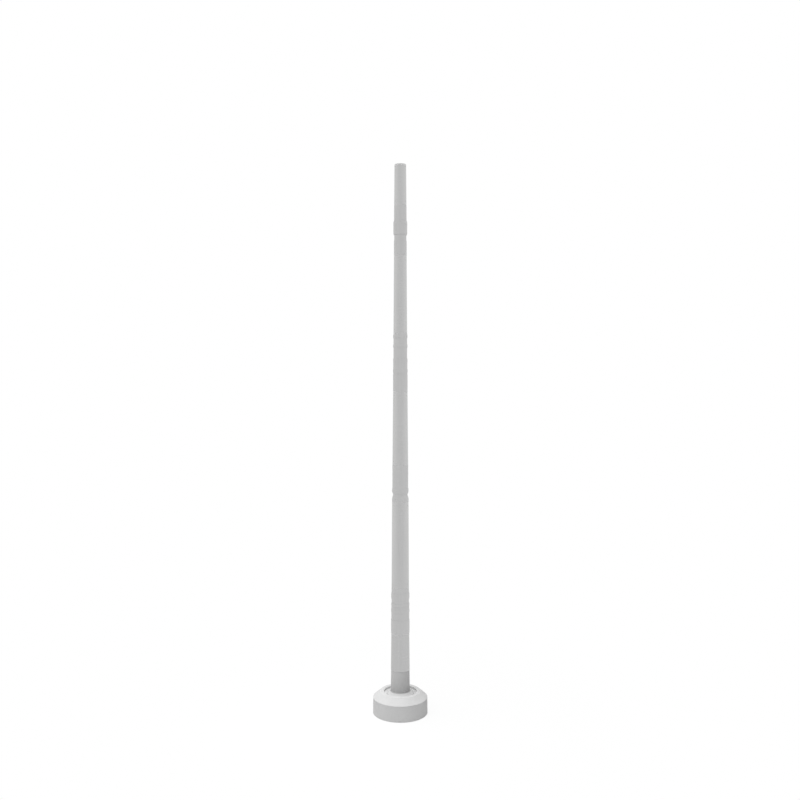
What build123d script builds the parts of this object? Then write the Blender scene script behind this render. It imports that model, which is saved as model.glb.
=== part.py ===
from build123d import *

import os

# Sectional flagpole on a round plinth. Millimetres, +Z up.
# The origin is the centre of the plinth's underside, and every piece is turned about Z.

# The whole pole, from the ground to the top of its cap
OVERALL_HEIGHT = 6000.0

# Plinth: a drum wall with a little draft, a bevelled shoulder with a rounded lip, and a round pocket
PLINTH_DIAMETER = 601.0
DRUM_DRAFT = 1.5
DRUM_HEIGHT = 171.0
DRUM_WALL = 60.0
SHOULDER_RISE = 68.0
LIP_DIAMETER = 442.0
LIP_ROUND = 12.0
POCKET_DIAMETER = 356.0
POCKET_DEPTH = 27.0
POCKET_ROUND = 8.0
ARRIS = 2.5

# Base flange on the pocket floor, under a low spun cover with a sloping edge
FLANGE_DIAMETER = 250.0
FLANGE_THICKNESS = 16.0
COVER_DIAMETER = 300.0
COVER_HEIGHT = 30.0
COVER_SKIRT = 9.0
COVER_SLOPE_RUN = 22.0
COVER_WALL = 2.5
COVER_CLEARANCE = 0.3

# Foot tube between the base flange and the lowest pole tube
FOOT_BOTTOM_DIAMETER = 211.5
FOOT_TOP_DIAMETER = 202.5
FOOT_VISIBLE_HEIGHT = 236.0

# Pole tubes from the bottom up: length, diameter at the lower end, diameter at the upper end.
# The lower tube is the one cut to suit the overall height, so its length follows from the rest.
TUBE_WALL = 5.0
TUBE_CHAMFER = 0.5
BUTT_LENGTH = 404.0
BUTT_BOTTOM_DIAMETER = 208.0
BUTT_TOP_DIAMETER = 199.0
LOWER_BOTTOM_DIAMETER = 192.0
LOWER_TOP_DIAMETER = 181.8
MIDDLE_LENGTH = 795.0
MIDDLE_BOTTOM_DIAMETER = 173.1
MIDDLE_TOP_DIAMETER = 158.5
UPPER_LENGTH = 840.0
UPPER_BOTTOM_DIAMETER = 149.8
UPPER_TOP_DIAMETER = 138.8
TOP_LENGTH = 426.0
TOP_BOTTOM_DIAMETER = 134.4
TOP_TOP_DIAMETER = 127.2
CAP_THICKNESS = 12.0
CAP_PLUG_LENGTH = 30.0

# Couplers: each is a turned sleeve with a spigot into the tube below and the tube above
SPIGOT_LENGTH = 150.0
SPIGOT_WALL = 6.0
SPIGOT_CLEARANCE = 0.3
LOWER_COUPLER_LENGTH = 510.0
MID_COUPLER_LENGTH = 405.0
UPPER_COUPLER_LENGTH = 640.0
TOP_COUPLER_LENGTH = 545.0

# Lower coupler: a stouter core with a long band and a bead, then a slimmer one with two beads
LOWER_CORE_DIAMETER = 197.6
LOWER_CORE_LENGTH = 300.0
LOWER_BAND_START = 3.0
LOWER_BAND_LENGTH = 152.0
LOWER_BAND_EDGE = 2.2
LOWER_BAND_PROJECTION = 3.6
LOWER_BEAD_3_START = 233.0
LOWER_BEAD_3_LENGTH = 38.0
LOWER_BEAD_3_PROJECTION = 3.0
LOWER_BEAD_2_LENGTH = 38.0
LOWER_BEAD_2_PROJECTION = 4.6
LOWER_BEAD_1_DROP = 58.0
LOWER_BEAD_1_LENGTH = 77.0
LOWER_BEAD_1_PROJECTION = 4.8

# Middle coupler: a sharp waist between the lower edge and a ring
MID_WAIST_START = 34.0
MID_WAIST_LENGTH = 64.0
MID_WAIST_FLANK = 44.0
MID_WAIST_DIAMETER = 158.5
MID_RING_LENGTH = 50.0
MID_RING_PROJECTION = 3.8

# Upper coupler: a stouter core with a bead at each end, then a slimmer one with two beads
UPPER_FOOT_LENGTH = 190.0
UPPER_CORE_DIAMETER = 154.8
UPPER_CORE_LENGTH = 175.0
UPPER_NECK_DIAMETER = 148.9
UPPER_BEAD_LENGTH = 40.0
UPPER_BEAD_4_START = 209.0
UPPER_BEAD_4_PROJECTION = 3.0
UPPER_BEAD_3_PROJECTION = 1.6
UPPER_BEAD_2_START = 481.0
UPPER_BEAD_2_PROJECTION = 4.2
UPPER_BEAD_1_DROP = 15.0
UPPER_BEAD_1_PROJECTION = 4.3

# Top coupler: a shallow neck under a bevelled collar
TOP_NECK_START = 158.0
TOP_NECK_LENGTH = 65.0
TOP_NECK_DIAMETER = 132.0
TOP_COLLAR_SEAT_DIAMETER = 137.2
TOP_COLLAR_LENGTH = 151.0
TOP_COLLAR_PROJECTION = 6.6
TOP_COLLAR_BEVEL = 13.0

# A bead's side stands up square for this share of its projection before it rounds over
BEAD_EDGE_SHARE = 0.35


class Taper:
    """A round piece whose diameter runs evenly from one height to another."""

    def __init__(self, bottom, top, bottom_diameter, top_diameter):
        self.bottom = bottom
        self.top = top
        self.bottom_radius = bottom_diameter / 2
        self.top_radius = top_diameter / 2

    def radius(self, height):
        share = (height - self.bottom) / (self.top - self.bottom)
        return self.bottom_radius + share * (self.top_radius - self.bottom_radius)


def turn(points):
    """Turn a closed outline of (radius, height) points about the Z axis."""
    outline = Polyline(*[(radius, 0, height) for radius, height in points], close=True)
    return revolve(make_face(outline), Axis.Z, 360)


def tube(taper):
    """A tapered tube with its outer end edges broken."""
    inner_bottom = taper.bottom_radius - TUBE_WALL
    inner_top = taper.top_radius - TUBE_WALL
    return turn([
        (inner_bottom, taper.bottom),
        (taper.bottom_radius - TUBE_CHAMFER, taper.bottom),
        (taper.bottom_radius, taper.bottom + TUBE_CHAMFER),
        (taper.top_radius, taper.top - TUBE_CHAMFER),
        (taper.top_radius - TUBE_CHAMFER, taper.top),
        (inner_top, taper.top),
    ])


def circles_at(piece, height):
    """The circular edges of a turned piece at a height, the smallest first."""
    circles = piece.edges().filter_by(GeomType.CIRCLE).filter_by_position(Axis.Z, height, height)
    return circles.sort_by(SortBy.RADIUS)


def spigot_radius(taper, height):
    """Outer radius of a spigot that fits inside a tapered tube at a height."""
    return taper.radius(height) - TUBE_WALL - SPIGOT_CLEARANCE


def coupler(below, above, contour):
    """A turned sleeve between two tubes, with its spigots and a straight bore."""
    lower_end = below.top - SPIGOT_LENGTH
    upper_end = above.bottom + SPIGOT_LENGTH
    bore = spigot_radius(above, upper_end) - SPIGOT_WALL
    return turn(
        [
            (bore, lower_end),
            (spigot_radius(below, lower_end), lower_end),
            (spigot_radius(below, below.top), below.top),
        ]
        + contour
        + [
            (spigot_radius(above, above.bottom), above.bottom),
            (spigot_radius(above, upper_end), upper_end),
            (bore, upper_end),
        ]
    )


def bead(seat_radius, start, length, edge, projection):
    """A ring seated on a round core, its outside a shallow arc between square sides."""
    outside = seat_radius + edge
    crown = seat_radius + projection
    end = start + length
    side = Polyline((outside, 0, end), (seat_radius, 0, end), (seat_radius, 0, start), (outside, 0, start))
    arc = ThreePointArc((outside, 0, start), (crown, 0, start + length / 2), (outside, 0, end))
    return revolve(make_face([side, arc]), Axis.Z, 360)


def round_bead(seat_radius, start, length, projection):
    """A bead whose square side is the usual share of its projection."""
    return bead(seat_radius, start, length, projection * BEAD_EDGE_SHARE, projection)


# Heights of the plinth and foot
lip_height = DRUM_HEIGHT + SHOULDER_RISE
floor_height = lip_height - POCKET_DEPTH
flange_top = floor_height + FLANGE_THICKNESS
cover_top = floor_height + COVER_HEIGHT
foot_top = cover_top + FOOT_VISIBLE_HEIGHT

# Radius of the drum's upper edge, which the shoulder follows
drum_top_radius = PLINTH_DIAMETER / 2 - DRUM_DRAFT

# Heights of the pole's joints, up from the foot and down from the cap
butt_top = foot_top + BUTT_LENGTH
lower_bottom = butt_top + LOWER_COUPLER_LENGTH
tip = OVERALL_HEIGHT - CAP_THICKNESS
top_bottom = tip - TOP_LENGTH
upper_top = top_bottom - TOP_COUPLER_LENGTH
upper_bottom = upper_top - UPPER_LENGTH
middle_top = upper_bottom - UPPER_COUPLER_LENGTH
middle_bottom = middle_top - MIDDLE_LENGTH
lower_top = middle_bottom - MID_COUPLER_LENGTH

# Tapers of the pole, each between two joints
foot = Taper(flange_top, foot_top, FOOT_BOTTOM_DIAMETER, FOOT_TOP_DIAMETER)
butt = Taper(foot_top, butt_top, BUTT_BOTTOM_DIAMETER, BUTT_TOP_DIAMETER)
lower = Taper(lower_bottom, lower_top, LOWER_BOTTOM_DIAMETER, LOWER_TOP_DIAMETER)
middle = Taper(middle_bottom, middle_top, MIDDLE_BOTTOM_DIAMETER, MIDDLE_TOP_DIAMETER)
upper = Taper(upper_bottom, upper_top, UPPER_BOTTOM_DIAMETER, UPPER_TOP_DIAMETER)
top = Taper(top_bottom, tip, TOP_BOTTOM_DIAMETER, TOP_TOP_DIAMETER)


def plinth_drum():
    """The wall of the plinth, drawn in a little toward the top, its outer edges broken."""
    outer = PLINTH_DIAMETER / 2
    inner = outer - DRUM_WALL
    return turn([
        (inner, 0),
        (outer - ARRIS, 0),
        (outer, ARRIS),
        (drum_top_radius, DRUM_HEIGHT - ARRIS),
        (drum_top_radius - ARRIS, DRUM_HEIGHT),
        (inner, DRUM_HEIGHT),
    ])


def plinth_infill():
    """The mass inside the drum, stepped up through the shoulder to the pocket floor."""
    inner = PLINTH_DIAMETER / 2 - DRUM_WALL
    pocket = POCKET_DIAMETER / 2
    return turn([
        (0, 0),
        (inner, 0),
        (inner, DRUM_HEIGHT),
        (pocket, DRUM_HEIGHT),
        (pocket, floor_height),
        (0, floor_height),
    ])


def plinth_shoulder():
    """The bevelled coping ring, both edges of its lip rounded."""
    pocket = POCKET_DIAMETER / 2
    ring = turn([
        (pocket, DRUM_HEIGHT),
        (drum_top_radius - ARRIS, DRUM_HEIGHT),
        (drum_top_radius, DRUM_HEIGHT + ARRIS),
        (LIP_DIAMETER / 2, lip_height),
        (pocket, lip_height),
    ])
    ring = fillet(circles_at(ring, lip_height)[-1], LIP_ROUND)
    return fillet(circles_at(ring, lip_height)[0], POCKET_ROUND)


def base_flange():
    """The round plate that carries the foot tube."""
    plate = Cylinder(FLANGE_DIAMETER / 2, FLANGE_THICKNESS, align=(Align.CENTER, Align.CENTER, Align.MIN))
    return Pos(0, 0, floor_height) * plate


def flange_cover():
    """A spun cover over the flange: a short skirt, a sloping edge and a flat round the foot tube."""
    outer = COVER_DIAMETER / 2
    inner = outer - COVER_WALL
    flat_edge = outer - COVER_SLOPE_RUN
    hole = foot.radius(cover_top - COVER_WALL) + COVER_CLEARANCE
    skirt_top = floor_height + COVER_SKIRT
    slope = (cover_top - skirt_top) / COVER_SLOPE_RUN
    return turn([
        (hole, cover_top),
        (flat_edge, cover_top),
        (outer, skirt_top),
        (outer, floor_height),
        (inner, floor_height),
        (inner, skirt_top + (slope - 1) * COVER_WALL),
        (flat_edge, cover_top - COVER_WALL),
        (hole, cover_top - COVER_WALL),
    ])


def foot_tube():
    """The foot tube, with the spigot that carries the lowest pole tube."""
    upper_end = butt.bottom + SPIGOT_LENGTH
    bore = spigot_radius(butt, upper_end) - SPIGOT_WALL
    return turn([
        (bore, foot.bottom),
        (foot.bottom_radius, foot.bottom),
        (foot.top_radius, foot.top),
        (spigot_radius(butt, butt.bottom), butt.bottom),
        (spigot_radius(butt, upper_end), upper_end),
        (bore, upper_end),
    ])


def lower_coupler():
    """The coupler between the butt tube and the lower tube."""
    core = LOWER_CORE_DIAMETER / 2
    step = butt.top + LOWER_CORE_LENGTH
    return coupler(butt, lower, [
        (core, butt.top),
        (core, step),
        (lower.bottom_radius, step),
        (lower.bottom_radius, lower.bottom),
    ])


def lower_rings():
    """The band and the three beads of the lower coupler, from the bottom up."""
    core = LOWER_CORE_DIAMETER / 2
    neck = lower.bottom_radius
    start = butt.top
    return {
        "lower_band": bead(
            core, start + LOWER_BAND_START, LOWER_BAND_LENGTH, LOWER_BAND_EDGE, LOWER_BAND_PROJECTION
        ),
        "lower_bead_3": round_bead(
            core, start + LOWER_BEAD_3_START, LOWER_BEAD_3_LENGTH, LOWER_BEAD_3_PROJECTION
        ),
        "lower_bead_2": round_bead(
            neck, start + LOWER_CORE_LENGTH, LOWER_BEAD_2_LENGTH, LOWER_BEAD_2_PROJECTION
        ),
        "lower_bead_1": round_bead(
            neck,
            lower.bottom - LOWER_BEAD_1_DROP - LOWER_BEAD_1_LENGTH,
            LOWER_BEAD_1_LENGTH,
            LOWER_BEAD_1_PROJECTION,
        ),
    }


def mid_coupler():
    """The coupler between the lower tube and the middle tube, with its sharp waist."""
    waist = MID_WAIST_DIAMETER / 2
    flank_foot = lower.top + MID_WAIST_START
    waist_end = flank_foot + MID_WAIST_LENGTH
    return coupler(lower, middle, [
        (lower.top_radius, lower.top),
        (lower.top_radius, flank_foot),
        (waist, flank_foot + MID_WAIST_FLANK),
        (middle.bottom_radius, waist_end),
        (middle.bottom_radius, middle.bottom),
    ])


def mid_ring():
    """The ring above the waist of the middle coupler."""
    start = lower.top + MID_WAIST_START + MID_WAIST_LENGTH
    return round_bead(middle.bottom_radius, start, MID_RING_LENGTH, MID_RING_PROJECTION)


def upper_coupler():
    """The coupler between the middle tube and the upper tube, stepped in two cores."""
    core = UPPER_CORE_DIAMETER / 2
    neck = UPPER_NECK_DIAMETER / 2
    first_step = middle.top + UPPER_FOOT_LENGTH
    second_step = first_step + UPPER_CORE_LENGTH
    return coupler(middle, upper, [
        (middle.top_radius, middle.top),
        (middle.top_radius, first_step),
        (core, first_step),
        (core, second_step),
        (neck, second_step),
        (neck, upper.bottom),
    ])


def upper_rings():
    """The four beads of the upper coupler, from the bottom up."""
    core = UPPER_CORE_DIAMETER / 2
    neck = UPPER_NECK_DIAMETER / 2
    start = middle.top
    core_end = start + UPPER_FOOT_LENGTH + UPPER_CORE_LENGTH
    return {
        "upper_bead_4": round_bead(
            core, start + UPPER_BEAD_4_START, UPPER_BEAD_LENGTH, UPPER_BEAD_4_PROJECTION
        ),
        "upper_bead_3": round_bead(
            core, core_end - UPPER_BEAD_LENGTH, UPPER_BEAD_LENGTH, UPPER_BEAD_3_PROJECTION
        ),
        "upper_bead_2": round_bead(
            neck, start + UPPER_BEAD_2_START, UPPER_BEAD_LENGTH, UPPER_BEAD_2_PROJECTION
        ),
        "upper_bead_1": round_bead(
            neck,
            upper.bottom - UPPER_BEAD_1_DROP - UPPER_BEAD_LENGTH,
            UPPER_BEAD_LENGTH,
            UPPER_BEAD_1_PROJECTION,
        ),
    }


def top_coupler():
    """The coupler between the upper tube and the top tube, necked under the collar."""
    neck = TOP_NECK_DIAMETER / 2
    seat = TOP_COLLAR_SEAT_DIAMETER / 2
    neck_start = upper.top + TOP_NECK_START
    collar_start = neck_start + TOP_NECK_LENGTH
    collar_end = collar_start + TOP_COLLAR_LENGTH
    return coupler(upper, top, [
        (upper.top_radius, upper.top),
        (upper.top_radius, neck_start),
        (neck, neck_start),
        (neck, collar_start),
        (seat, collar_start),
        (seat, collar_end),
        (top.bottom_radius, top.bottom),
    ])


def top_collar():
    """The collar of the top coupler, bevelled at both ends."""
    seat = TOP_COLLAR_SEAT_DIAMETER / 2
    outside = seat + TOP_COLLAR_PROJECTION
    edge = seat + TOP_COLLAR_PROJECTION * BEAD_EDGE_SHARE
    start = upper.top + TOP_NECK_START + TOP_NECK_LENGTH
    end = start + TOP_COLLAR_LENGTH
    return turn([
        (seat, start),
        (edge, start),
        (outside, start + TOP_COLLAR_BEVEL),
        (outside, end - TOP_COLLAR_BEVEL),
        (edge, end),
        (seat, end),
    ])


def top_cap():
    """The flush end plug in the top of the pole."""
    plug_end = top.top - CAP_PLUG_LENGTH
    return turn([
        (0, plug_end),
        (spigot_radius(top, plug_end), plug_end),
        (spigot_radius(top, top.top), top.top),
        (top.top_radius - TUBE_CHAMFER, top.top),
        (top.top_radius - TUBE_CHAMFER, top.top + CAP_THICKNESS - TUBE_CHAMFER),
        (top.top_radius - 2 * TUBE_CHAMFER, top.top + CAP_THICKNESS),
        (0, top.top + CAP_THICKNESS),
    ])


def build_pieces():
    """Every piece of the flagpole by name, from the ground up."""
    pieces = {
        "plinth_drum": plinth_drum(),
        "plinth_infill": plinth_infill(),
        "plinth_shoulder": plinth_shoulder(),
        "base_flange": base_flange(),
        "flange_cover": flange_cover(),
        "foot_tube": foot_tube(),
        "butt_section": tube(butt),
        "lower_coupler": lower_coupler(),
        "lower_section": tube(lower),
        "mid_coupler": mid_coupler(),
        "mid_ring": mid_ring(),
        "middle_section": tube(middle),
        "upper_coupler": upper_coupler(),
        "upper_section": tube(upper),
        "top_coupler": top_coupler(),
        "top_collar": top_collar(),
        "top_section": tube(top),
        "top_cap": top_cap(),
    }
    pieces.update(lower_rings())
    pieces.update(upper_rings())
    return pieces


os.makedirs("parts", exist_ok=True)
for name, piece in build_pieces().items():
    export_step(piece, f"parts/{name}.step")
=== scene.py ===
"""Looks of a sectional flagpole: the finish of every piece, its set screws, and the seals at its joints."""

import logging
import math
from dataclasses import dataclass
from enum import Enum
from typing import Iterable

import bmesh
import bpy
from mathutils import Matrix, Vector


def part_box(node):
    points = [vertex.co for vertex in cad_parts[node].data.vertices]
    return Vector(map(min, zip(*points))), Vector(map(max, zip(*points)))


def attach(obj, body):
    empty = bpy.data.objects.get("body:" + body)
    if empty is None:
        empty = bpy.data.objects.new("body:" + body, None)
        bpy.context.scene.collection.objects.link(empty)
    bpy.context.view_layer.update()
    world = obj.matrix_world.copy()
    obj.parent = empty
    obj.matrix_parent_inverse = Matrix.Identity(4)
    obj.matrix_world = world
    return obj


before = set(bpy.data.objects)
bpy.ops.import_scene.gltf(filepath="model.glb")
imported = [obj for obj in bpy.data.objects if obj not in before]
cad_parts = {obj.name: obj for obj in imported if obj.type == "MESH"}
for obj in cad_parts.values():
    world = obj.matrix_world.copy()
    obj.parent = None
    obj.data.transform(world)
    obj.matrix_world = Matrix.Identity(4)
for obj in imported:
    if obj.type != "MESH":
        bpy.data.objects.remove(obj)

LOG = logging.getLogger("flagpole")
BODY = "root"
MM = 0.001
WHITE = (1.0, 1.0, 1.0, 1.0)
# A vector times this one loses its height.
LEVEL_PART = (1.0, 1.0, 0.0)
# The way from the pole to the camera.
FRONT = (0.0, -1.0, 0.0)
# The Mix node's sockets share their names, so these are their numbers.
VALUE_A = 2
VALUE_B = 3
COLOUR_A = 6
COLOUR_B = 7
MIXED_VALUE = 0
MIXED_COLOUR = 2


def linear(hex_colour: str) -> tuple[float, float, float, float]:
    """Turn an sRGB hex colour into a linear one.

    Args:
        hex_colour: The colour as six hex digits, with or without a leading hash mark.

    Returns:
        Red, green, blue and an alpha of 1.
    """
    digits = hex_colour.lstrip("#")
    channels = [int(digits[start:start + 2], 16) / 255 for start in (0, 2, 4)]
    # The sRGB curve has a straight foot up to 0.04045, and is a power of 2.4 above it.
    red, green, blue = [c / 12.92 if c <= 0.04045 else ((c + 0.055) / 1.055) ** 2.4 for c in channels]
    return red, green, blue, 1.0


def add_node(
    tree: bpy.types.NodeTree, kind: str, inputs: dict | None = None, **settings: object
) -> bpy.types.Node:
    """Add a node with its settings, values and links.

    Args:
        tree: The tree that gets the node.
        kind: The node's type name.
        inputs: A value or an output socket for each input, by name or number.
        **settings: The node's own properties.

    Returns:
        The new node.
    """
    node = tree.nodes.new(kind)
    for name, value in settings.items():
        setattr(node, name, value)
    for key, value in (inputs or {}).items():
        if isinstance(value, bpy.types.NodeSocket):
            tree.links.new(value, node.inputs[key])
        else:
            node.inputs[key].default_value = value
    return node


def new_material(name: str) -> tuple[bpy.types.Material, bpy.types.NodeTree, bpy.types.Node]:
    """Start a material whose output takes one Principled shader.

    Args:
        name: The material's name.

    Returns:
        The material, its node tree and the shader node.
    """
    material = bpy.data.materials.new(name)
    material.use_nodes = True
    tree = material.node_tree
    tree.nodes.clear()
    shader = add_node(tree, "ShaderNodeBsdfPrincipled")
    add_node(tree, "ShaderNodeOutputMaterial", {"Surface": shader.outputs["BSDF"]})
    return material, tree, shader


def toned(
    tree: bpy.types.NodeTree,
    colour: tuple[float, float, float, float],
    patterns: Iterable[tuple[bpy.types.NodeSocket, float]],
) -> bpy.types.NodeSocket:
    """Vary a colour's brightness by patterns that run from 0 to 1.

    Args:
        tree: The material's tree.
        colour: The middle colour, linear.
        patterns: Each pattern, and how far it takes the brightness up and down, as a share.

    Returns:
        The socket with the varied colour.
    """
    varied = colour[:3]
    for pattern, spread in patterns:
        factor = add_node(
            tree, "ShaderNodeMapRange", {"Value": pattern, "To Min": 1 - spread, "To Max": 1 + spread}
        ).outputs["Result"]
        varied = add_node(
            tree, "ShaderNodeVectorMath", {0: varied, "Scale": factor}, operation="SCALE"
        ).outputs["Vector"]
    return varied


class Slot(Enum):
    """Two material slot names, cover and pole, which nothing in the script uses."""

    COVER = "cover"
    POLE = "pole"


class Direction(Enum):
    """Which way the marks of a worked metal surface run, as how closely they lie along X, Y and Z."""

    AROUND = (1.0, 1.0, 200.0)
    NONE = (1.0, 1.0, 1.0)


@dataclass(frozen=True)
class WorkedMetal:
    """Bare metal after its last working: a grey mirror broken up by fine marks, clouded and rain-streaked.

    Grinding marks and blasted grain are a few tenths of a millimetre apart on the real metal. On tubes and
    castings they are drawn 1.5 mm or so apart, because finer ones don't show in a picture of a whole joint.
    """

    name: str
    colour: str
    roughness: float
    roughness_spread: float
    mark_mm: float
    mark_depth_mm: float
    mark_tone: float
    direction: Direction
    mark_detail: float = 3.0
    mark_sharpness: float = 0.6
    cloud_mm: float = 260.0
    cloud_detail: float = 2.0
    cloud_tone: float = 0.02
    streak_mm: float = 12.0
    streak_detail: float = 3.0
    streak_stretch: float = 40.0
    streak_tone: float = 0.04

    def build(self) -> bpy.types.Material:
        """Make the material.

        Returns:
            The bare metal.
        """
        material, tree, shader = new_material(self.name)
        place = add_node(tree, "ShaderNodeTexCoord").outputs["Object"]
        stretched = add_node(
            tree, "ShaderNodeMapping", {"Vector": place, "Scale": self.direction.value}
        ).outputs["Vector"]
        closest = max(self.direction.value)
        marks = add_node(
            tree,
            "ShaderNodeTexNoise",
            {
                "Vector": stretched,
                "Scale": 1 / (self.mark_mm * MM * closest),
                "Detail": self.mark_detail,
                "Roughness": self.mark_sharpness,
            },
        ).outputs["Fac"]
        clouds = add_node(
            tree,
            "ShaderNodeTexNoise",
            {"Vector": place, "Scale": 1 / (self.cloud_mm * MM), "Detail": self.cloud_detail},
        ).outputs["Fac"]
        drawn_out = add_node(
            tree, "ShaderNodeMapping", {"Vector": place, "Scale": (1.0, 1.0, 1 / self.streak_stretch)}
        ).outputs["Vector"]
        streaks = add_node(
            tree,
            "ShaderNodeTexNoise",
            {"Vector": drawn_out, "Scale": 1 / (self.streak_mm * MM), "Detail": self.streak_detail},
        ).outputs["Fac"]
        colour = toned(
            tree,
            linear(self.colour),
            ((clouds, self.cloud_tone), (streaks, self.streak_tone), (marks, self.mark_tone)),
        )
        bump = add_node(
            tree, "ShaderNodeBump", {"Height": marks, "Distance": self.mark_depth_mm * MM}
        ).outputs["Normal"]
        roughness = add_node(
            tree,
            "ShaderNodeMapRange",
            {
                "Value": marks,
                "To Min": self.roughness - self.roughness_spread,
                "To Max": self.roughness + self.roughness_spread,
            },
        ).outputs["Result"]
        shader.inputs["Metallic"].default_value = 1.0
        tree.links.new(colour, shader.inputs["Base Color"])
        tree.links.new(roughness, shader.inputs["Roughness"])
        tree.links.new(bump, shader.inputs["Normal"])
        return material


class Spread(Enum):
    """Which way the painted shade thins out."""

    UPWARD = "up the pole"
    OUTWARD = "away from the pole"


@dataclass(frozen=True)
class PaintedShade:
    """Painted shade: a darkening that thins out evenly from one height, or one distance from the pole's
    axis, to another.
    """

    amount: float
    darkest_at_m: float
    gone_at_m: float
    spread: Spread

    def build(self, tree: bpy.types.NodeTree, place: bpy.types.NodeSocket) -> bpy.types.NodeSocket:
        """Make the share of painted shade at each point.

        Args:
            tree: The material's tree.
            place: The point in the object's own coordinates.

        Returns:
            The socket with the share, from 0 to the painted shade's amount.
        """
        if self.spread is Spread.UPWARD:
            distance = add_node(tree, "ShaderNodeSeparateXYZ", {"Vector": place}).outputs["Z"]
        else:
            level = add_node(
                tree, "ShaderNodeVectorMath", {0: place, 1: LEVEL_PART}, operation="MULTIPLY"
            ).outputs["Vector"]
            distance = add_node(
                tree, "ShaderNodeVectorMath", {0: level}, operation="LENGTH"
            ).outputs["Value"]
        return add_node(
            tree,
            "ShaderNodeMapRange",
            {
                "Value": distance,
                "From Min": self.darkest_at_m,
                "From Max": self.gone_at_m,
                "To Min": self.amount,
                "To Max": 0.0,
            },
        ).outputs["Result"]


@dataclass(frozen=True)
class Paint:
    """Sprayed paint on metal: even colour, a slight orange peel, and patchy painted shade toward one height
    or toward the pole's axis.
    """

    name: str
    colour: str
    roughness: float
    peel_mm: float
    peel_depth_mm: float
    painted_shade: PaintedShade
    shade_tone: float = 0.35
    peel_detail: float = 1.0
    patch_mm: float = 35.0
    patch_detail: float = 5.0
    patchiness: float = 0.6

    def build(self) -> bpy.types.Material:
        """Make the material.

        Returns:
            The paint with its painted shade.
        """
        material, tree, shader = new_material(self.name)
        place = add_node(tree, "ShaderNodeTexCoord").outputs["Object"]
        peel = add_node(
            tree,
            "ShaderNodeTexNoise",
            {"Vector": place, "Scale": 1 / (self.peel_mm * MM), "Detail": self.peel_detail},
        ).outputs["Fac"]
        patches = add_node(
            tree,
            "ShaderNodeTexNoise",
            {"Vector": place, "Scale": 1 / (self.patch_mm * MM), "Detail": self.patch_detail},
        ).outputs["Fac"]
        patch_share = add_node(
            tree,
            "ShaderNodeMapRange",
            {"Value": patches, "To Min": 1 - self.patchiness, "To Max": 1 + self.patchiness},
        ).outputs["Result"]
        # Painted shade: the clean colour is darkened by this patchy share.
        shade_share = add_node(
            tree, "ShaderNodeMath", {0: self.painted_shade.build(tree, place), 1: patch_share}, operation="MULTIPLY"
        ).outputs[0]
        clean = linear(self.colour)
        shaded = tuple(c * self.shade_tone for c in clean[:3]) + (1.0,)
        colour = add_node(
            tree, "ShaderNodeMix", {"Factor": shade_share, COLOUR_A: clean, COLOUR_B: shaded}, data_type="RGBA"
        ).outputs[MIXED_COLOUR]
        bump = add_node(
            tree, "ShaderNodeBump", {"Height": peel, "Distance": self.peel_depth_mm * MM}
        ).outputs["Normal"]
        shader.inputs["Roughness"].default_value = self.roughness
        tree.links.new(colour, shader.inputs["Base Color"])
        tree.links.new(bump, shader.inputs["Normal"])
        return material


@dataclass(frozen=True)
class Sealant:
    """Gun-applied sealant, tooled and cured: rubbery, a little glossy, with the drag marks of the tool."""

    name: str
    colour: str
    roughness: float = 0.4
    drag_mm: float = 2.5
    drag_detail: float = 2.0
    drag_depth_mm: float = 0.06
    drag_tone: float = 0.03

    def build(self) -> bpy.types.Material:
        """Make the material.

        Returns:
            The cured sealant.
        """
        material, tree, shader = new_material(self.name)
        place = add_node(tree, "ShaderNodeTexCoord").outputs["Object"]
        drag = add_node(
            tree,
            "ShaderNodeTexNoise",
            {"Vector": place, "Scale": 1 / (self.drag_mm * MM), "Detail": self.drag_detail},
        ).outputs["Fac"]
        colour = toned(tree, linear(self.colour), ((drag, self.drag_tone),))
        bump = add_node(
            tree, "ShaderNodeBump", {"Height": drag, "Distance": self.drag_depth_mm * MM}
        ).outputs["Normal"]
        shader.inputs["Roughness"].default_value = self.roughness
        tree.links.new(colour, shader.inputs["Base Color"])
        tree.links.new(bump, shader.inputs["Normal"])
        return material


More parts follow.
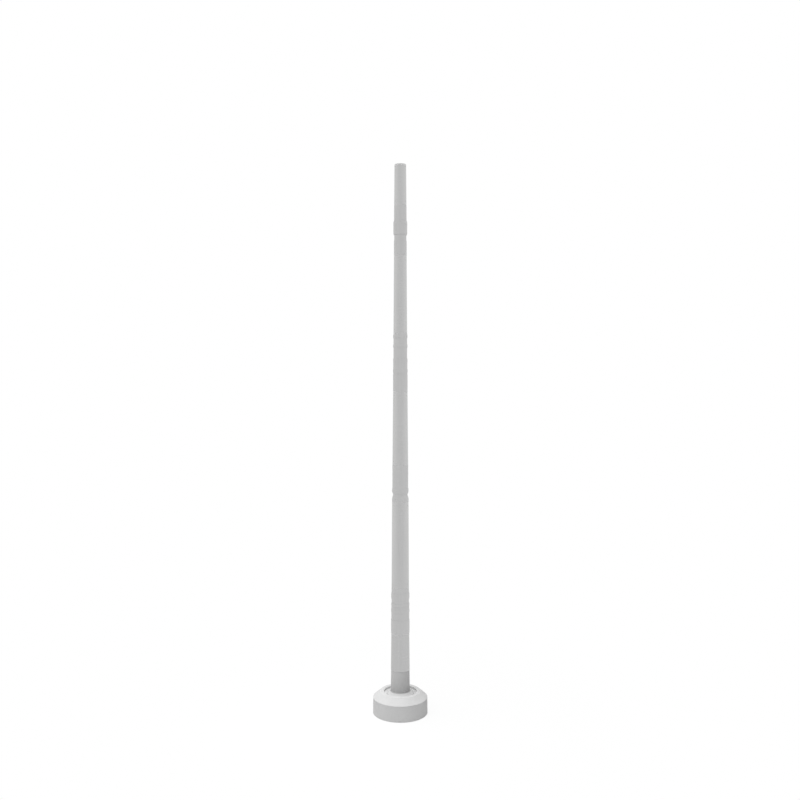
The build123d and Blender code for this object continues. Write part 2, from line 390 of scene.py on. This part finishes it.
@dataclass(frozen=True)
class PrecastConcrete:
    """Concrete cast against steel: a smooth pale skin with sand grain, soft clouds and small air holes,
    each darkened with painted shade.

    The sand is about 1 mm across on the real concrete. It is drawn at 2 mm, so that it shows from a step
    away.
    """

    name: str
    colour: str
    roughness: float = 0.75
    grain_mm: float = 2.0
    grain_detail: float = 3.0
    grain_tone: float = 0.25
    grain_depth_mm: float = 0.2
    cloud_mm: float = 120.0
    cloud_detail: float = 4.0
    cloud_tone: float = 0.05
    hole_spacing_mm: float = 24.0
    hole_share: float = 0.1
    hole_rim: float = 0.6
    hole_shade_tone: float = 0.6
    hole_depth_mm: float = 1.2

    def build(self) -> bpy.types.Material:
        """Make the material.

        Returns:
            The concrete.
        """
        material, tree, shader = new_material(self.name)
        place = add_node(tree, "ShaderNodeTexCoord").outputs["Object"]
        grain = add_node(
            tree,
            "ShaderNodeTexNoise",
            {"Vector": place, "Scale": 1 / (self.grain_mm * MM), "Detail": self.grain_detail},
        ).outputs["Fac"]
        clouds = add_node(
            tree,
            "ShaderNodeTexNoise",
            {"Vector": place, "Scale": 1 / (self.cloud_mm * MM), "Detail": self.cloud_detail},
        ).outputs["Fac"]
        cells = add_node(
            tree, "ShaderNodeTexVoronoi", {"Vector": place, "Scale": 1 / (self.hole_spacing_mm * MM)}
        ).outputs["Distance"]
        whole_skin = add_node(
            tree,
            "ShaderNodeMapRange",
            {"Value": cells, "From Min": self.hole_share * self.hole_rim, "From Max": self.hole_share},
        ).outputs["Result"]
        tone = linear(self.colour)
        skin = toned(tree, tone, ((clouds, self.cloud_tone), (grain, self.grain_tone)))
        # Painted shade: each air hole is darkened to this share of the skin's colour.
        hole_shade = tuple(c * self.hole_shade_tone for c in tone[:3]) + (1.0,)
        colour = add_node(
            tree, "ShaderNodeMix", {"Factor": whole_skin, COLOUR_A: hole_shade, COLOUR_B: skin}, data_type="RGBA"
        ).outputs[MIXED_COLOUR]
        pitted = add_node(
            tree, "ShaderNodeBump", {"Height": whole_skin, "Distance": self.hole_depth_mm * MM}
        ).outputs["Normal"]
        bump = add_node(
            tree,
            "ShaderNodeBump",
            {"Height": grain, "Distance": self.grain_depth_mm * MM, "Normal": pitted},
        ).outputs["Normal"]
        shader.inputs["Roughness"].default_value = self.roughness
        tree.links.new(colour, shader.inputs["Base Color"])
        tree.links.new(bump, shader.inputs["Normal"])
        return material


# Drawn tube ground round and round with a fine belt: a soft mirror with long rings, so it shows the
# room as smooth grey bands.
SATIN_TUBE = WorkedMetal(
    name="satin_ground_aluminium",
    colour="#C4C4C4",
    roughness=0.26,
    roughness_spread=0.04,
    mark_mm=1.5,
    mark_depth_mm=0.006,
    mark_tone=0.03,
    direction=Direction.AROUND,
)
# Sand castings blasted with fine grit: dull and even, without the sheen of the tubes beside them.
BLASTED_CASTING = WorkedMetal(
    name="blasted_cast_aluminium",
    colour="#D3D3D3",
    roughness=0.75,
    roughness_spread=0.04,
    mark_mm=1.6,
    mark_depth_mm=0.05,
    mark_tone=0.08,
    direction=Direction.NONE,
)
# Turned stainless steel: a touch warmer and darker than aluminium, so the small screws stand out.
SCREW_STEEL = WorkedMetal(
    name="turned_stainless_steel",
    colour="#B4B2AE",
    roughness=0.3,
    roughness_spread=0.03,
    mark_mm=0.4,
    mark_depth_mm=0.003,
    mark_tone=0.03,
    direction=Direction.NONE,
)
# Matt enamel over galvanised steel, which hides the metal; painted shade darkens it toward its foot, where
# the tube goes into the cover.
FOOT_PAINT = Paint(
    name="matt_foot_enamel",
    colour="#CACACA",
    roughness=0.5,
    peel_mm=3.0,
    peel_depth_mm=0.03,
    painted_shade=PaintedShade(amount=0.3, darkest_at_m=0.24, gone_at_m=0.46, spread=Spread.UPWARD),
)
# Satin enamel on spun sheet: smoother and lighter than the foot, with a ring of painted shade that is
# darkest where the foot tube meets it.
COVER_PAINT = Paint(
    name="satin_cover_enamel",
    colour="#D8D8D8",
    roughness=0.45,
    peel_mm=3.0,
    peel_depth_mm=0.02,
    painted_shade=PaintedShade(amount=0.3, darkest_at_m=0.106, gone_at_m=0.145, spread=Spread.OUTWARD),
)
# Pale concrete from a steel mould: nearly white where the light falls on it, grey on its upright side.
CONCRETE = PrecastConcrete(name="smooth_precast_concrete", colour="#D6D6D6")
# Neutral silicone, rubbery, drawn round the foot with a wet tool; its grey is made dark to paint the shade
# where the tube meets the cover.
FOOT_SEALANT = Sealant(name="cured_grey_silicone", colour="#AAAAAA")
# Clear silicone wiped off flush: a near-white hairline between two metal edges, its whiteness painted light
# over the shade of the joint groove.
JOINT_SEALANT = Sealant(name="cured_milky_silicone", colour="#F0F0F0", drag_mm=0.8, drag_depth_mm=0.02)


def dress(names: Iterable[str], material: bpy.types.Material) -> None:
    """Give CAD nodes a finish.

    Args:
        names: The nodes' names.
        material: Their only material.
    """
    for name in names:
        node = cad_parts[name]
        node.data.materials.clear()
        node.data.materials.append(material)
        LOG.info("%s dressed in %s", name, material.name)


def new_object(name: str, mesh: bpy.types.Mesh) -> bpy.types.Object:
    """Put a mesh in the scene.

    Args:
        name: The object's name.
        mesh: Its mesh.

    Returns:
        The object, at the origin.
    """
    piece = bpy.data.objects.new(name, mesh)
    bpy.context.scene.collection.objects.link(piece)
    return piece


def hand_over(piece: bpy.types.Object) -> None:
    """Let a finished piece move with the flagpole's only body.

    Args:
        piece: The piece's object.
    """
    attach(piece, BODY)
    LOG.info("%s made of %d faces", piece.name, len(piece.data.polygons))


def closed_mesh(name: str, builder: bmesh.types.BMesh) -> bpy.types.Mesh:
    """Turn a closed shell's faces outward and make it a mesh.

    Args:
        name: The mesh's name.
        builder: The shell, which is freed.

    Returns:
        The mesh.
    """
    bmesh.ops.recalc_face_normals(builder, faces=builder.faces)
    mesh = bpy.data.meshes.new(name)
    builder.to_mesh(mesh)
    builder.free()
    return mesh


def lathe(
    name: str, outline: list[tuple[float, float]], smooth_sides: int, around: int = 128
) -> bpy.types.Mesh:
    """Turn a closed outline about the pole's axis.

    Args:
        name: The mesh's name.
        outline: Radius and height of each corner, in metres.
        smooth_sides: How many sides, from the first corner on, belong to a curve and are shaded smooth.
        around: Steps in the full turn.

    Returns:
        The closed ring.
    """
    builder = bmesh.new()
    rings = []
    for step in range(around):
        angle = math.tau * step / around
        rings.append([builder.verts.new((r * math.cos(angle), r * math.sin(angle), z)) for r, z in outline])
    for step, here in enumerate(rings):
        after = rings[(step + 1) % around]
        for corner in range(len(outline)):
            beyond = (corner + 1) % len(outline)
            face = builder.faces.new((here[corner], after[corner], after[beyond], here[beyond]))
            face.smooth = corner < smooth_sides
    return closed_mesh(name, builder)


@dataclass(frozen=True)
class TubeShape:
    """A tapered tube as its CAD mesh has it: the heights and outer radii of its ends, in metres."""

    bottom: float
    top: float
    bottom_radius: float
    top_radius: float

    @classmethod
    def measured(cls, node: str, rim: float = MM) -> "TubeShape":
        """Measure a CAD tube.

        Args:
            node: The tube's name.
            rim: How far from an end a point may lie to belong to it.

        Returns:
            The tube's shape.
        """
        low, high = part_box(node)
        points = [vertex.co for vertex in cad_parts[node].data.vertices]
        at_bottom = [point.xy.length for point in points if point.z < low.z + rim]
        at_top = [point.xy.length for point in points if point.z > high.z - rim]
        return cls(low.z, high.z, max(at_bottom), max(at_top))

    def radius(self, height: float) -> float:
        """Outer radius of the tube at a height."""
        share = (height - self.bottom) / (self.top - self.bottom)
        return self.bottom_radius + share * (self.top_radius - self.bottom_radius)


@dataclass
class Plinth:
    """The concrete drum, its shoulder and infill."""

    nodes: tuple[str, ...] = ("plinth_drum", "plinth_infill", "plinth_shoulder")

    def dress(self) -> None:
        """Give the plinth its concrete."""
        dress(self.nodes, CONCRETE.build())


@dataclass
class Foot:
    """The foot tube, the flange that carries it and the cover over the flange."""

    tube: str = "foot_tube"
    flange: str = "base_flange"
    cover: str = "flange_cover"

    def dress(self) -> None:
        """Paint the foot and its cover."""
        dress((self.flange, self.tube), FOOT_PAINT.build())
        dress((self.cover,), COVER_PAINT.build())


@dataclass
class FootSeal:
    """A hollow fillet of sealant, drawn by a round tool, where the foot tube leaves its cover."""

    foot: Foot
    name: str = "foot_seal"
    leg_mm: float = 7.0
    sunk_mm: float = 1.0
    arc_steps: int = 6

    def build(self) -> None:
        """Turn the fillet's outline about the pole's axis."""
        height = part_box(self.foot.cover)[1].z
        radius = TubeShape.measured(self.foot.tube).bottom_radius
        leg = self.leg_mm * MM
        sunk = self.sunk_mm * MM
        turns = [math.pi / 2 * step / self.arc_steps for step in range(self.arc_steps + 1)]
        arc = [(radius + leg * (1 - math.sin(t)), height + leg * (1 - math.cos(t))) for t in turns]
        hidden = [
            (radius - sunk, height + leg),
            (radius - sunk, height - sunk),
            (radius + leg, height - sunk),
        ]
        mesh = lathe(self.name, arc + hidden, smooth_sides=self.arc_steps)
        mesh.materials.append(FOOT_SEALANT.build())
        hand_over(new_object(self.name, mesh))


@dataclass
class Pole:
    """The tubes, couplers and rings above the foot, the tubes from the lowest up."""

    tubes: tuple[str, ...] = (
        "butt_section",
        "lower_section",
        "middle_section",
        "upper_section",
        "top_section",
    )
    cap: str = "top_cap"
    cast_words: tuple[str, ...] = ("coupler", "ring", "band", "bead", "collar")

    def dress(self) -> None:
        """Give the tubes and the castings their finishes."""
        castings = sorted(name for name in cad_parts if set(name.split("_")) & set(self.cast_words))
        dress(self.tubes + (self.cap,), SATIN_TUBE.build())
        dress(castings, BLASTED_CASTING.build())


@dataclass
class JointSeals:
    """Sealant wiped flush into the fine groove between each tube and the coupler it meets; its near-white
    colour is painted light over the groove's shade.
    """

    tubes: tuple[str, ...]
    band: str = "lower_band"
    reach_mm: float = 0.7
    below_flush_mm: float = 0.1
    deep_mm: float = 1.2

    def build(self) -> None:
        """Fill the groove at each tube end; the lowest end stands clear over the foot and has none."""
        finish = JOINT_SEALANT.build()
        reach = self.reach_mm * MM
        lowest = self.tubes[0]
        for node in self.tubes:
            shape = TubeShape.measured(node)
            ends = {"upper": (shape.top, shape.top_radius)}
            if node != lowest:
                ends["lower"] = (shape.bottom, shape.bottom_radius)
            for end, (height, radius) in ends.items():
                # Over the lowest tube the seal fills the gap up to the band.
                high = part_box(self.band)[0].z if node == lowest else height + reach
                low = height - reach
                outer = radius - self.below_flush_mm * MM
                inner = radius - self.deep_mm * MM
                name = f"{node}_{end}_seal"
                outline = [(outer, low), (outer, high), (inner, high), (inner, low)]
                mesh = lathe(name, outline, smooth_sides=1)
                mesh.materials.append(finish)
                hand_over(new_object(name, mesh))


@dataclass
class SetScrew:
    """One hexagon socket set screw, its axis along +X and the tube's surface at x = 0."""

    diameter_mm: float = 10.0
    proud_mm: float = 0.8
    sunk_mm: float = 3.0
    chamfer_mm: float = 0.5
    socket_sides: int = 6
    socket_mm: float = 5.0
    socket_depth_mm: float = 1.8
    arcs_per_side: int = 4

    def build(self) -> bpy.types.Mesh:
        """Make the screw, each side of its socket joined to the arc of the edge beside it.

        Returns:
            The closed mesh.
        """
        builder = bmesh.new()
        steps = self.socket_sides * self.arcs_per_side
        wide = self.diameter_mm / 2 * MM
        chamfer = self.chamfer_mm * MM
        socket = self.socket_mm / 2 / math.cos(math.pi / self.socket_sides) * MM
        face = self.proud_mm * MM
        foot = self._ring(builder, steps, wide, -self.sunk_mm * MM)
        shoulder = self._ring(builder, steps, wide, face - chamfer)
        edge = self._ring(builder, steps, wide - chamfer, face)
        mouth = self._ring(builder, self.socket_sides, socket, face)
        floor = self._ring(builder, self.socket_sides, socket, face - self.socket_depth_mm * MM)
        for first, second in ((foot, shoulder), (shoulder, edge), (mouth, floor)):
            self._wall(builder, first, second)
        builder.faces.new(floor)
        builder.faces.new(list(reversed(foot)))
        for side in range(self.socket_sides):
            start = side * self.arcs_per_side
            arc = [edge[(start + step) % steps] for step in range(self.arcs_per_side + 1)]
            builder.faces.new(arc + [mouth[(side + 1) % self.socket_sides], mouth[side]])
        return closed_mesh("set_screw", builder)

    @staticmethod
    def _ring(
        builder: bmesh.types.BMesh, steps: int, radius: float, along: float
    ) -> list[bmesh.types.BMVert]:
        """Set points evenly round the X axis."""
        turns = [math.tau * step / steps for step in range(steps)]
        return [builder.verts.new((along, radius * math.cos(t), radius * math.sin(t))) for t in turns]

    @staticmethod
    def _wall(
        builder: bmesh.types.BMesh, first: list[bmesh.types.BMVert], second: list[bmesh.types.BMVert]
    ) -> None:
        """Join two rings with four-sided faces.

        Args:
            builder: The screw in the making.
            first: One ring's points.
            second: As many points of the other ring.
        """
        for here in range(len(first)):
            after = (here + 1) % len(first)
            builder.faces.new((first[here], first[after], second[after], second[here]))


@dataclass(frozen=True)
class ScrewRing:
    """Where one ring of set screws sits on a tube, in metres."""

    name: str
    height: float
    radius: float


@dataclass
class SetScrews:
    """The set screws that pin each tube to the spigot or plug inside it, evenly round the pole."""

    tubes: tuple[str, ...]
    count: int = 3
    first_angle_deg: float = 90.0
    inset_mm: float = 40.0
    cap_inset_mm: float = 15.0

    def ring_tree(self) -> bpy.types.NodeTree:
        """Build the tree that sets one screw round the pole, facing outward.

        Returns:
            The Geometry Nodes tree.
        """
        tree = bpy.data.node_groups.new("screw_ring", "GeometryNodeTree")
        for name, kind in (
            ("Screw", "NodeSocketObject"),
            ("Count", "NodeSocketInt"),
            ("First Angle", "NodeSocketFloat"),
            ("Radius", "NodeSocketFloat"),
            ("Height", "NodeSocketFloat"),
            ("Finish", "NodeSocketMaterial"),
        ):
            tree.interface.new_socket(name, in_out="INPUT", socket_type=kind)
        tree.interface.new_socket("Geometry", in_out="OUTPUT", socket_type="NodeSocketGeometry")
        sizes = add_node(tree, "NodeGroupInput").outputs
        circle = add_node(
            tree, "GeometryNodeMeshCircle", {"Vertices": sizes["Count"], "Radius": sizes["Radius"]}
        )
        lift = add_node(tree, "ShaderNodeCombineXYZ", {"Z": sizes["Height"]})
        turn = add_node(tree, "ShaderNodeCombineXYZ", {"Z": sizes["First Angle"]})
        placed = add_node(
            tree,
            "GeometryNodeTransform",
            {
                "Geometry": circle.outputs["Mesh"],
                "Translation": lift.outputs["Vector"],
                "Rotation": turn.outputs["Vector"],
            },
        )
        position = add_node(tree, "GeometryNodeInputPosition").outputs["Position"]
        outward = add_node(
            tree, "ShaderNodeVectorMath", {0: position, 1: LEVEL_PART}, operation="MULTIPLY"
        )
        facing = add_node(
            tree,
            "FunctionNodeAlignRotationToVector",
            {"Vector": outward.outputs["Vector"]},
            axis="X",
            pivot_axis="Z",
        )
        screw = add_node(tree, "GeometryNodeObjectInfo", {"Object": sizes["Screw"]})
        set_round = add_node(
            tree,
            "GeometryNodeInstanceOnPoints",
            {
                "Points": placed.outputs["Geometry"],
                "Instance": screw.outputs["Geometry"],
                "Rotation": facing.outputs["Rotation"],
            },
        )
        real = add_node(tree, "GeometryNodeRealizeInstances", {"Geometry": set_round.outputs["Instances"]})
        finished = add_node(
            tree,
            "GeometryNodeSetMaterial",
            {"Geometry": real.outputs["Geometry"], "Material": sizes["Finish"]},
        )
        add_node(tree, "NodeGroupOutput", {"Geometry": finished.outputs["Geometry"]})
        return tree

    def rings(self) -> list[ScrewRing]:
        """Place one ring near each end of each tube.

        Returns:
            The rings, from the ground up.
        """
        places = []
        for node in self.tubes:
            shape = TubeShape.measured(node)
            top_inset = self.cap_inset_mm if node == self.tubes[-1] else self.inset_mm
            for end, height in (
                ("lower", shape.bottom + self.inset_mm * MM),
                ("upper", shape.top - top_inset * MM),
            ):
                places.append(ScrewRing(f"{node}_{end}_set_screws", height, shape.radius(height)))
        return places

    def build(self) -> None:
        """Make every ring of screws a plain mesh."""
        tree = self.ring_tree()
        inputs = [item for item in tree.interface.items_tree if item.in_out == "INPUT"]
        sockets = {item.name: item.identifier for item in inputs}
        finish = SCREW_STEEL.build()
        pattern = new_object("set_screw_pattern", SetScrew().build())
        for place in self.rings():
            carrier = new_object(place.name + "_carrier", bpy.data.meshes.new(place.name + "_carrier"))
            modifier = carrier.modifiers.new("screw_ring", "NODES")
            modifier.node_group = tree
            modifier[sockets["Screw"]] = pattern
            modifier[sockets["Count"]] = self.count
            modifier[sockets["First Angle"]] = math.radians(self.first_angle_deg)
            modifier[sockets["Radius"]] = place.radius
            modifier[sockets["Height"]] = place.height
            modifier[sockets["Finish"]] = finish
            graph = bpy.context.evaluated_depsgraph_get()
            mesh = bpy.data.meshes.new_from_object(carrier.evaluated_get(graph))
            mesh.name = place.name
            carrier.modifiers.clear()
            bpy.data.objects.remove(carrier)
            hand_over(new_object(place.name, mesh))
        bpy.data.objects.remove(pattern)


@dataclass
class Studio:
    """A white room: light from a soft ceiling, a brighter left side, and a floor that keeps the shadow."""

    ambient: float = 0.5
    side_light: tuple[float, float, float] = (-0.27, -0.13, 0.0)
    front_shade: float = 0.1
    front_shade_start: float = -0.1
    front_shade_end: float = 0.95
    ceiling_watts: float = 732.0
    ceiling_size_m: float = 4.0
    ceiling_place: tuple[float, float, float] = (-0.5, -0.3, 10.0)
    floor_radius_m: float = 60.0
    floor_sides: int = 96
    floor_colour: str = "#D4D4D4"
    floor_mirrored: float = 0.895
    floor_mirrored_near_m: float = 2.5
    floor_mirrored_far_m: float = 9.0
    floor_seen_colour: str = "#EFEFEF"
    shadow_share: float = 0.15
    fade_start_m: float = 0.6
    fade_end_m: float = 3.0

    def build(self) -> None:
        """Make the surround, the lamp and the floor."""
        self._world()
        self._ceiling()
        self._floor()

    def _seen(self, tree: bpy.types.NodeTree, path: bpy.types.Node) -> bpy.types.NodeSocket:
        """Tell the rays that look at the room, which are camera, mirror and glass rays, from the others.

        Args:
            tree: The tree of the world or of a material.
            path: The tree's light path node.

        Returns:
            The socket that is 1 for such a ray and 0 for any other.
        """
        mirrored = add_node(
            tree,
            "ShaderNodeMath",
            {0: path.outputs["Is Glossy Ray"], 1: path.outputs["Is Transmission Ray"]},
            operation="MAXIMUM",
        ).outputs[0]
        return add_node(
            tree, "ShaderNodeMath", {0: path.outputs["Is Camera Ray"], 1: mirrored}, operation="MAXIMUM"
        ).outputs[0]

    def _mirrored_level(
        self, tree: bpy.types.NodeTree, direction: bpy.types.NodeSocket
    ) -> bpy.types.NodeSocket:
        """Make the room's wall, as a mirror sees it, white and a little darker toward the front.

        Args:
            tree: The tree of the world or of a material.
            direction: The way that the mirror looks.

        Returns:
            The socket with the wall's brightness.
        """
        frontward = add_node(
            tree, "ShaderNodeVectorMath", {0: direction, 1: FRONT}, operation="DOT_PRODUCT"
        ).outputs["Value"]
        return add_node(
            tree,
            "ShaderNodeMapRange",
            {
                "Value": frontward,
                "From Min": self.front_shade_start,
                "From Max": self.front_shade_end,
                "To Min": 1.0,
                "To Max": 1.0 - self.front_shade,
            },
            interpolation_type="SMOOTHSTEP",
        ).outputs["Result"]

    def _world(self) -> None:
        """Make the surround: white to the eye and to mirrors, and soft light from the left to all else."""
        world = bpy.data.worlds.new("white_room")
        world.use_nodes = True
        tree = world.node_tree
        tree.nodes.clear()
        path = add_node(tree, "ShaderNodeLightPath")
        direction = add_node(tree, "ShaderNodeTexCoord").outputs["Generated"]
        side = add_node(
            tree, "ShaderNodeVectorMath", {0: direction, 1: self.side_light}, operation="DOT_PRODUCT"
        ).outputs["Value"]
        level = add_node(tree, "ShaderNodeMath", {0: side, 1: self.ambient}, operation="ADD").outputs[0]
        light = add_node(tree, "ShaderNodeBackground", {"Color": WHITE, "Strength": level})
        whiteness = add_node(
            tree,
            "ShaderNodeMix",
            {
                "Factor": path.outputs["Is Camera Ray"],
                VALUE_A: self._mirrored_level(tree, direction),
                VALUE_B: 1.0,
            },
        ).outputs[MIXED_VALUE]
        white = add_node(tree, "ShaderNodeBackground", {"Color": WHITE, "Strength": whiteness})
        mix = add_node(
            tree,
            "ShaderNodeMixShader",
            {0: self._seen(tree, path), 1: light.outputs[0], 2: white.outputs[0]},
        )
        add_node(tree, "ShaderNodeOutputWorld", {"Surface": mix.outputs[0]})
        world.cycles.sampling_method = "NONE"
        bpy.context.scene.world = world

    def _ceiling(self) -> None:
        """Hang one large soft lamp above."""
        lamp = bpy.data.lights.new("ceiling", "AREA")
        lamp.shape = "DISK"
        lamp.size = self.ceiling_size_m
        lamp.energy = self.ceiling_watts
        holder = bpy.data.objects.new("ceiling", lamp)
        holder.location = self.ceiling_place
        holder.visible_glossy = False
        holder.visible_camera = False
        bpy.context.scene.collection.objects.link(holder)

    def _floor(self) -> None:
        """Lay a wide disc under the pole."""
        mesh = bpy.data.meshes.new("floor")
        builder = bmesh.new()
        bmesh.ops.create_circle(
            builder, cap_ends=True, segments=self.floor_sides, radius=self.floor_radius_m
        )
        builder.to_mesh(mesh)
        builder.free()
        mesh.materials.append(self._floor_material())
        new_object("floor", mesh)

    def _floor_material(self) -> bpy.types.Material:
        """Make the floor white to the eye, but for a share of the shadow near the object.

        Returns:
            The floor's material.
        """
        material = bpy.data.materials.new("white_floor")
        material.use_nodes = True
        tree = material.node_tree
        tree.nodes.clear()
        path = add_node(tree, "ShaderNodeLightPath")
        to_camera = path.outputs["Is Camera Ray"]
        place = add_node(tree, "ShaderNodeTexCoord").outputs["Object"]
        reach = add_node(tree, "ShaderNodeVectorMath", {0: place}, operation="LENGTH").outputs["Value"]
        white_share = add_node(
            tree,
            "ShaderNodeMapRange",
            {
                "Value": reach,
                "From Min": self.fade_start_m,
                "From Max": self.fade_end_m,
                "To Min": 1 - self.shadow_share,
                "To Max": 1.0,
            },
            interpolation_type="SMOOTHSTEP",
        ).outputs["Result"]
        glow_share = add_node(
            tree, "ShaderNodeMath", {0: self._seen(tree, path), 1: white_share}, operation="MULTIPLY"
        ).outputs[0]
        outward = add_node(
            tree, "ShaderNodeVectorMath", {0: place}, operation="NORMALIZE"
        ).outputs["Vector"]
        farness = add_node(
            tree,
            "ShaderNodeMapRange",
            {"Value": reach, "From Min": self.floor_mirrored_near_m, "From Max": self.floor_mirrored_far_m},
            interpolation_type="SMOOTHSTEP",
        ).outputs["Result"]
        mirrored = add_node(
            tree,
            "ShaderNodeMix",
            {"Factor": farness, VALUE_A: self.floor_mirrored, VALUE_B: self._mirrored_level(tree, outward)},
        ).outputs[MIXED_VALUE]
        whiteness = add_node(
            tree, "ShaderNodeMix", {"Factor": to_camera, VALUE_A: mirrored, VALUE_B: 1.0}
        ).outputs[MIXED_VALUE]
        colour = add_node(
            tree,
            "ShaderNodeMix",
            {
                "Factor": to_camera,
                COLOUR_A: linear(self.floor_colour),
                COLOUR_B: linear(self.floor_seen_colour),
            },
            data_type="RGBA",
        ).outputs[MIXED_COLOUR]
        matt = add_node(tree, "ShaderNodeBsdfDiffuse", {"Color": colour})
        glow = add_node(tree, "ShaderNodeEmission", {"Color": WHITE, "Strength": whiteness})
        mix = add_node(
            tree, "ShaderNodeMixShader", {0: glow_share, 1: matt.outputs[0], 2: glow.outputs[0]}
        )
        add_node(tree, "ShaderNodeOutputMaterial", {"Surface": mix.outputs[0]})
        return material


@dataclass
class Viewpoint:
    """The photograph's camera: above the pole's middle, turned a little down."""

    distance_m: float = 9.369
    height_m: float = 3.747
    side_m: float = -0.0033
    nose_down_deg: float = 1.8234
    view_angle_deg: float = 50.0
    sight_m: float = 200.0

    def build(self) -> None:
        """Place the camera, which looks along +Y."""
        data = bpy.data.cameras.new("camera")
        data.sensor_fit = "HORIZONTAL"
        data.angle = math.radians(self.view_angle_deg)
        data.clip_end = self.sight_m
        holder = bpy.data.objects.new("camera", data)
        holder.location = (self.side_m, -self.distance_m, self.height_m)
        holder.rotation_euler = (math.radians(90.0 - self.nose_down_deg), 0.0, 0.0)
        bpy.context.scene.collection.objects.link(holder)
        bpy.context.scene.camera = holder


def main() -> None:
    """Build the view, the room and the dressed flagpole."""
    logging.basicConfig(level=logging.INFO, format="%(name)s: %(message)s")
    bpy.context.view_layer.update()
    bpy.context.scene.view_settings.view_transform = "Standard"
    Viewpoint().build()
    Studio().build()
    foot = Foot()
    pole = Pole()
    for part in (Plinth(), foot, pole):
        part.dress()
    FootSeal(foot).build()
    JointSeals(pole.tubes).build()
    SetScrews(pole.tubes).build()


if __name__ == "__main__":
    main()
